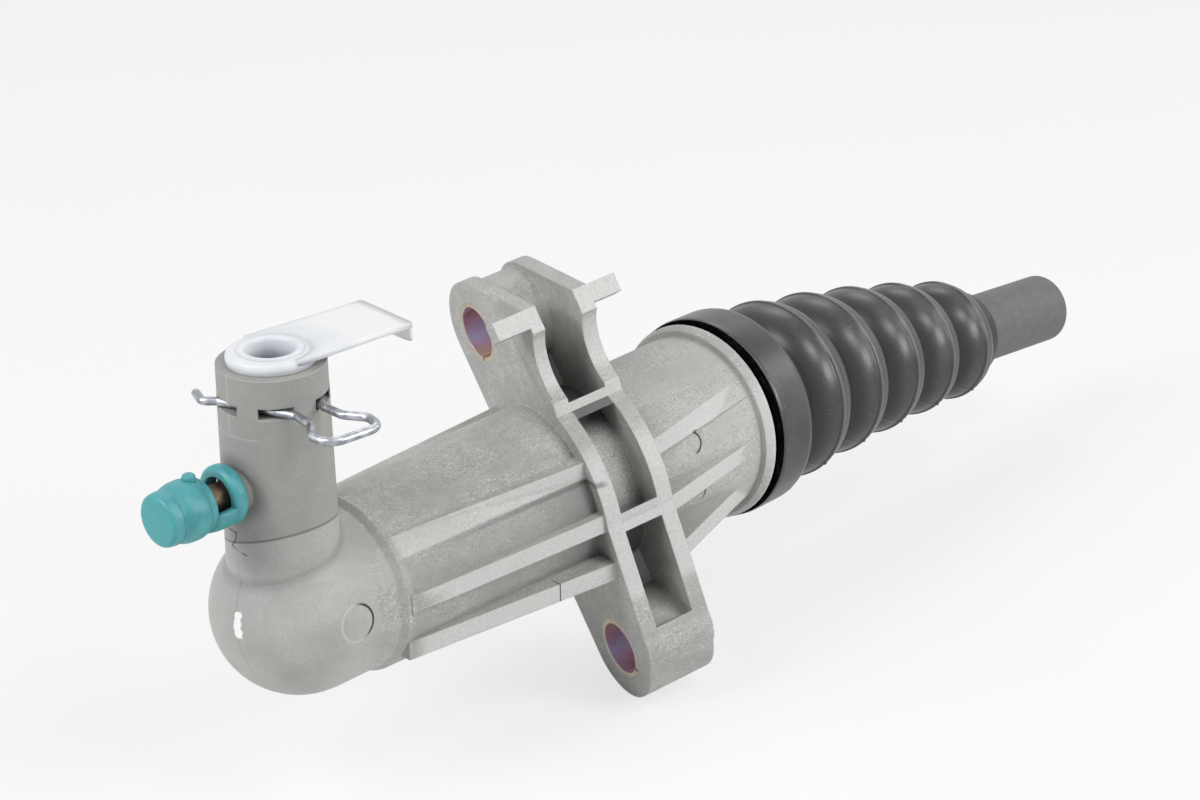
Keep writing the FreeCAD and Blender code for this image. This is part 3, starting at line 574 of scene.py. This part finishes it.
for node, material in (
    ("cylinder_body", NYLON), ("bolt_sleeve_upper", ZINC), ("bolt_sleeve_lower", ZINC),
    ("port_clip", WIRE), ("transit_plug", MILK), ("port_seal", SEAL), ("bleed_screw", BRASS),
    ("bleed_cap", TEAL), ("piston", PISTON), ("piston_seal", SEAL), ("piston_guide", GUIDE),
    ("stop_ring", WIRE), ("preload_spring", SPRING), ("push_rod", ROD), ("dust_boot", BOOT),
):
    dress(nodes[node], material)


# Mesh tools, all in millimetres until the mesh is made


def skin(name, rings, material, loop=False, ends=True, smooth=True):
    """A mesh through closed rings of points, capped at its ends or joined end to end."""
    count = len(rings[0])
    points = [Vector(point) * MM for ring in rings for point in ring]
    faces = []
    for i in range(len(rings) if loop else len(rings) - 1):
        here, there = i * count, (i + 1) % len(rings) * count
        for j in range(count):
            k = (j + 1) % count
            faces.append((here + j, here + k, there + k, there + j))
    if ends and not loop:
        for ring, start, flip in ((rings[0], 0, True), (rings[-1], (len(rings) - 1) * count, False)):
            centre = sum((Vector(point) for point in ring), Vector()) / count * MM
            points.append(centre)
            hub = len(points) - 1
            for j in range(count):
                k = (j + 1) % count
                pair = (start + k, start + j) if flip else (start + j, start + k)
                faces.append((*pair, hub))
    mesh = bpy.data.meshes.new(name)
    mesh.from_pydata(points, [], faces)
    mesh.polygons.foreach_set("use_smooth", [smooth] * len(mesh.polygons))
    obj = bpy.data.objects.new(name, mesh)
    bpy.context.scene.collection.objects.link(obj)
    return dress(obj, material)


def eased(corners, steps=5):
    """A profile whose corners (place, radius, ease) are each rounded back by their ease."""
    out = []
    for i, (a, b, ease) in enumerate(corners):
        if not ease or i in (0, len(corners) - 1):
            out.append((a, b))
            continue
        corner = Vector((a, b))
        before = (Vector(corners[i - 1][:2]) - corner).normalized() * ease + corner
        after = (Vector(corners[i + 1][:2]) - corner).normalized() * ease + corner
        for step in range(steps + 1):
            t = step / steps
            out.append(tuple((1 - t) ** 2 * before + 2 * t * (1 - t) * corner + t * t * after))
    return out


def circle(count=96, extra=()):
    """Angles round an axis, evenly spaced, with closer ones about each extra angle."""
    angles = [2 * math.pi * i / count for i in range(count)]
    for middle in extra:
        for shift in (-1.6, -0.9, -0.45, 0.45, 0.9, 1.6):
            angles.append((middle + math.radians(shift)) % (2 * math.pi))
    return sorted(set(round(angle, 6) for angle in angles))


def turned(profile, angles, placed):
    """Rings of a profile turned about an axis; placed gives the point for a place, radius and angle."""
    return [[placed(a, max(r, 0.001), angle) for angle in angles] for a, r in profile]


# Dust boot: a band on the spigot and five convolutions that droop with the rod

PARTING = (math.radians(-131) % (2 * math.pi), math.radians(49))
ROUND = circle(96, PARTING)


def on_boot(along, radius, angle):
    """A point of the boot, whose middle line leaves the bore's axis as it nears the rod's."""
    share = min(1.0, max(0.0, (along - BAND[1]) / (CUFF[0] - BAND[1])))
    tilt = DROOP * share
    middle = Vector((along, 0, -(along - BALL) * math.tan(DROOP) * share))
    up = radius * math.cos(angle)
    return middle + Vector((up * math.sin(tilt), radius * math.sin(angle), up * math.cos(tilt)))


def flash(angle, along):
    """Height of the mould's parting line, which ends in a small nub on each crest."""
    away = min(abs((angle - p + math.pi) % (2 * math.pi) - math.pi) for p in PARTING)
    if away > math.radians(1.0):
        return 0.0
    crest = min(abs(along - c) for c, _ in CRESTS)
    return (0.08 + 0.26 * max(0.0, 1 - crest / 0.7)) * (1 - away / math.radians(1.0))


def convolutions():
    """The bellows' outside: a round flank up to each crest, a thin bead there, and a sharp valley."""
    rows = []
    for k, (crest, radius) in enumerate(CRESTS):
        before = radius + FALL / 2 - VALLEY
        after = radius - FALL / 2 - VALLEY if k < 4 else 8.4
        reach = PITCH / 2 if k < 4 else 4.4
        for step in range(9):
            t = step / 9
            rise = 1 - (1 - t) ** 2.3
            rows.append((crest - PITCH / 2 * (1 - t), before + (radius - 0.28 - before) * rise))
        rows += [(crest - 0.3, radius - 0.27), (crest - 0.12, radius), (crest + 0.3, radius)]
        rows.append((crest + 0.55, radius - 0.3))
        for step in range(1, 9):
            t = step / 9
            fall = 1 - t ** 2.3
            rows.append((crest + 0.55 + (reach - 0.55) * t, after + (radius - 0.3 - after) * fall))
    return rows


def boot_rings(profile):
    """Rings of the boot through a profile, with the parting line's flash on them."""
    return [
        [on_boot(along, radius + flash(angle, along), angle) for angle in ROUND]
        for along, radius in profile
    ]


band = skin("boot_band", boot_rings(eased([
    (44.4, 12.4, 0), (44.3, 13.2, 0.1), (44.3, 16.8, 0.4), (43.4, 17.05, 0.4), (37.5, 17.1, 0.3),
    (37.0, 16.95, 0.2), (37.0, 16.5, 0)])), BOOT, ends=False)
# A ring of painted shade in the gap before the boot's band.
mouth = skin("boot_band_shade", boot_rings([
    (37.1, 16.9), (36.4, 16.88), (35.96, 16.8), (35.9, 16.6), (35.9, 14.4), (42.6, 14.3)]), SHADE_RUBBER, ends=False)
rows = convolutions()
front_rows = [(44.3, 13.4)] + [row for row in rows if row[0] <= SPLIT]
rear_rows = [row for row in rows if row[0] >= SPLIT]
rear_rows += eased([(CUFF[0] + 0.9, 8.4, 0), (105.2, 8.2, 0.2), (CUFF[1], 8.0, 0.5), (CUFF[1], 6.5, 0)])
joint = (SPLIT, (front_rows[-1][1] + rear_rows[0][1]) / 2)
bellows_front = skin("bellows_front", boot_rings(front_rows + [joint]), BOOT, ends=False)
bellows_rear = skin("bellows_rear", boot_rings([joint] + rear_rows), BOOT, ends=False)
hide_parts("dust_boot")
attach(band, "cylinder")
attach(mouth, "cylinder")
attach(bellows_front, "cylinder")
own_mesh(bellows_front)
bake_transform(bellows_rear)

# Preload spring, a coil along the bore

WIRE_RADIUS, COIL_RADIUS, COIL_START, COIL_END, TURNS = 0.9, 8.2, -49.1, 17.1, 7
coil = []
for i in range(TURNS * 36 + 1):
    turn = 2 * math.pi * i / 36
    out = Vector((0, math.sin(turn), math.cos(turn)))
    middle = BORE * (COIL_START + (COIL_END - COIL_START) * i / (TURNS * 36)) + out * COIL_RADIUS
    coil.append([
        middle + (out * math.cos(a) + BORE * math.sin(a)) * WIRE_RADIUS
        for a in (2 * math.pi * j / 12 for j in range(12))])
spring = skin("preload_coil", coil, SPRING)
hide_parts("preload_spring")
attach(spring, "cylinder")
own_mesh(spring)

# Bleed cap: the cap, its retaining ring and the folded strap between them

FINE = circle(72)


def on_cap(along, radius, angle):
    """A point of the cap, about the bleed screw's axis."""
    return Vector((along, radius * math.sin(angle), BLEED_LEVEL + radius * math.cos(angle)))


cap = skin("cap_bulb", turned(eased([
    (-75.0, 0, 0), (-75.0, 3.8, 0.7), (-73.2, 4.0, 0.4), (-72.8, 3.84, 0.3), (-71.6, 4.4, 0.8),
    (-69.2, 4.45, 0.8), (-68.4, 4.05, 0.4), (-67.3, 3.95, 0.4), (-67.2, 2.9, 0.3), (-73.4, 2.85, 0)],
), FINE, on_cap), TEAL, ends=False)
ring_profile = eased([
    (-63.4, 2.86, 0), (-64.5, 2.9, 0.3), (-64.5, 3.9, 0.4), (-63.9, 4.4, 0.3), (-62.7, 4.4, 0.3),
    (-62.1, 3.9, 0.3), (-62.1, 2.9, 0.3), (-63.3, 2.86, 0)])
ring = skin("cap_ring", turned(ring_profile, FINE, on_cap), TEAL, loop=True)


def oblong(wide, thick, count=20):
    """A flat section with round edges."""
    return [
        (wide / 2 * math.copysign(abs(math.cos(a)) ** 0.5, math.cos(a)),
         thick / 2 * math.copysign(abs(math.sin(a)) ** 0.7, math.sin(a)))
        for a in (2 * math.pi * j / count for j in range(count))]


web = []
for i in range(15):
    angle = math.radians(184 + 78 * i / 14)
    sag = 0.25 * math.sin(math.pi * i / 14)
    web.append([on_cap(along, radius + sag, angle) for along, radius in (
        (-67.7, 4.0), (-66.6, 4.15), (-65.4, 4.2), (-64.2, 4.1), (-63.6, 3.9), (-63.6, 3.2), (-64.2, 3.2),
        (-65.4, 3.3), (-66.6, 3.3), (-67.7, 3.2))])
strap = skin("cap_strap", web, TEAL)
nub = skin("cap_nub", [
    [Vector((-69.1 + r * math.cos(a), r * math.sin(a), z)) for a in (math.pi * j / 12 for j in range(24))]
    for z, r in eased([(25.4, 1.0, 0), (27.0, 0.95, 0.4), (27.15, 0, 0)])], TEAL)
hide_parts("bleed_cap")
for piece in (cap, ring, strap, nub):
    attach(piece, "cap")

# Transit plug: the flange and raised lip round its cup, the stem, and the pull tab with its end lip

MOUTH = Vector((TOWER, 0, TOWER_TOP))
TAB_LENGTH, TAB_HALF, TAB_HOLLOW = 20.2, 6.35, 5.3


def on_port(height, radius, angle):
    """A point of the plug, about the tower's axis and up from its mouth."""
    return MOUTH + Vector((radius * math.cos(angle), radius * math.sin(angle), height))


plug_profile = [(height, radius) for radius, height in eased([
    (0, -3.2, 0), (2.9, -3.2, 0.4), (3.55, 1.5, 0.2), (3.8, 1.95, 0.3), (4.5, 1.95, 0.35),
    (4.9, 1.72, 0.2), (6.1, 1.68, 0.4), (6.4, 0.9, 0.3), (6.25, 0.02, 0.1), (4.4, 0.0, 0.1),
    (4.35, -8.0, 0.4), (3.3, -9.4, 0.3), (3.2, -12.0, 0.3), (0, -12.0, 0)])]
plug = skin("plug_cup", turned(plug_profile, circle(96), on_port), MILK, ends=False)
TURN = Matrix.Rotation(-math.radians(4.5), 3, "Z")
tab_rings = []
for i in range(33):
    share = i / 16 - 1
    inner = math.sqrt(max(0.0, TAB_HOLLOW ** 2 - (6.3 * share) ** 2))
    outs = [inner + (TAB_LENGTH - inner) * step / 10 for step in range(11)]
    line = [(out, (TAB_HALF - 0.5 * min(1.0, out / 14)) * share) for out in outs]
    tab_rings.append(
        [MOUTH + TURN @ Vector((out, wide, 1.7)) for out, wide in line]
        + [MOUTH + TURN @ Vector((out, wide, 0.85)) for out, wide in reversed(line)])
tab = skin("plug_tab", tab_rings, MILK)
lip_rings = []
for down, thick in ((-1.6, 1.1), (-0.8, 1.0), (0.2, 1.0), (0.7, 0.9), (1.15, 0.5)):
    lip_rings.append([
        MOUTH + TURN @ Vector((20.0 + deep, across, 0.5 + down))
        for across, deep in oblong(11.8, thick)])
lip = skin("plug_tab_lip", lip_rings, MILK)
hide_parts("transit_plug")
for piece in (plug, tab, lip):
    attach(piece, "plug")

# The collar side's upper fin, which runs from the flange's rear plate and dies out at the collar. Its
# section's corners are given as the ends (y, z) at the plate and at the collar.

FIN_START, FIN_END = 6.3, 33.4
FIN_CORNERS = (
    ((-15.3, 7.4), (-12.3, 8.8)), ((-15.0, 10.3), (-10.1, 11.2)), ((-7.3, 12.5), (-8.3, 12.5)),
    ((-7.0, 12.0), (-8.0, 11.6)), ((-9.8, 9.9), (-9.8, 9.9)), ((-11.8, 7.4), (-10.9, 8.8)))
fin_rings = []
for place in (FIN_START, 15.0, 24.0, FIN_END):
    share = (place - FIN_START) / (FIN_END - FIN_START)
    fin_rings.append([
        Vector((place, *Vector(at_plate).lerp(Vector(at_collar), share)))
        for at_plate, at_collar in FIN_CORNERS])
fin = skin("collar_fin", fin_rings, NYLON, smooth=False)
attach(fin, "cylinder")

# Tower wall over the clip's legs, beside the windows that show them: a thin skin, a hair proud of the
# tower, from just below the slot to just above it

CLIP_YAW = math.radians(-5.4)
WALL_PROUD, WALL_THICK = 0.015, 0.18
WALL_LEVELS = (33.0, 34.1, 35.2)
outside = [(height, WALL_PROUD) for height in WALL_LEVELS]
inside = [(height, WALL_PROUD - WALL_THICK) for height in reversed(WALL_LEVELS)]
for side, first, last in (("left", 196.0, 219.6), ("right", -39.6, -16.0)):
    wall = []
    for i in range(25):
        angle = math.radians(first + (last - first) * i / 24) + CLIP_YAW
        outward = Vector((math.cos(angle), math.sin(angle), 0))
        wall.append([
            Vector((TOWER, 0, height)) + outward * (TOWER_RADIUS - TOWER_DRAFT * height + proud)
            for height, proud in outside + inside])
    cover = skin("slot_wall_" + side, wall, PLAIN_NYLON, smooth=False)
    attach(cover, "cylinder")

# Floor, light and camera


def backdrop():
    """A pale matt floor that shows nearly white to the camera and to gloss, and keeps the part's shadow."""
    floor = Finish("pale_floor", roughness=0.9)
    tone = floor.grain(60.0, 2.0)
    floor.wear(floor.mix(tone, ink(238, 238, 238), ink(242, 242, 242)), 0.9 + tone * 0.02)
    matt = Field(floor, floor.shader.outputs["BSDF"])
    glow = floor.node("Emission", {}, {"Color": (1, 1, 1, 1), "Strength": 1.0})
    shown = floor.node("MixShader", {}, {0: floor.seen() * 0.72, 1: matt, 2: glow})
    floor.tree.links.new(shown.socket, floor.tree.nodes["Material Output"].inputs["Surface"])
    level = -31.2 * MM
    corners = [(x, y, level) for x, y in ((-3, -3), (3, -3), (3, 3), (-3, 3))]
    mesh = bpy.data.meshes.new("floor")
    mesh.from_pydata(corners, [], [(0, 1, 2, 3)])
    obj = bpy.data.objects.new("floor", mesh)
    bpy.context.scene.collection.objects.link(obj)
    dress(obj, floor.material)


def softbox(name, place, size, power):
    """A rectangular lamp that looks at the part's origin."""
    lamp = bpy.data.lights.new(name, "AREA")
    lamp.shape = "RECTANGLE"
    lamp.size, lamp.size_y = size
    lamp.energy = power
    obj = bpy.data.objects.new(name, lamp)
    obj.location = place
    obj.rotation_euler = (-Vector(place)).to_track_quat("-Z", "Y").to_euler()
    bpy.context.scene.collection.objects.link(obj)


def sky(level):
    """Even studio light, which the camera, metal, gloss and clear plastic see as white."""
    world = bpy.data.worlds.new("studio")
    world.use_nodes = True
    bpy.context.scene.world = world
    world.node_tree.nodes.clear()
    studio = Shading(world.node_tree)
    plain, white = [
        studio.node("Background", {}, {"Color": (1, 1, 1, 1), "Strength": strength})
        for strength in (level, 1.0)]
    shown = studio.node("MixShader", {}, {0: studio.seen(), 1: plain, 2: white})
    studio.node("OutputWorld", {}, {"Surface": shown}, out=None)


backdrop()
sky(0.1)
for name, place, power in (
    ("left", (-0.75, 0.25, 0.45), 3.4), ("high_left", (-0.55, 0.1, 0.7), 2.1),
    ("front", (0.3, -0.7, 0.35), 2.5), ("high_front", (0.05, -0.5, 0.75), 2.2),
    ("right", (0.7, -0.35, 0.45), 0.9), ("back", (0.45, 0.4, 0.65), 0.8),
):
    softbox(name, place, (0.36, 0.28), power)

camera = bpy.data.cameras.new("photo_view")
camera.lens = 83.1
camera.sensor_width = 36.0
camera.clip_start = 0.02
viewer = bpy.data.objects.new("photo_view", camera)
bpy.context.scene.collection.objects.link(viewer)
rightward = Vector((0.690, -0.725, -0.010)).normalized()
backward = Vector((-0.659, -0.634, 0.405)).normalized()
upward = backward.cross(rightward).normalized()
turn = Matrix((rightward, upward, backward)).transposed()
viewer.matrix_world = Matrix.Translation((-0.2757, -0.2763, 0.1880)) @ turn.to_4x4()
bpy.context.scene.camera = viewer
bpy.context.scene.view_settings.view_transform = "Standard"
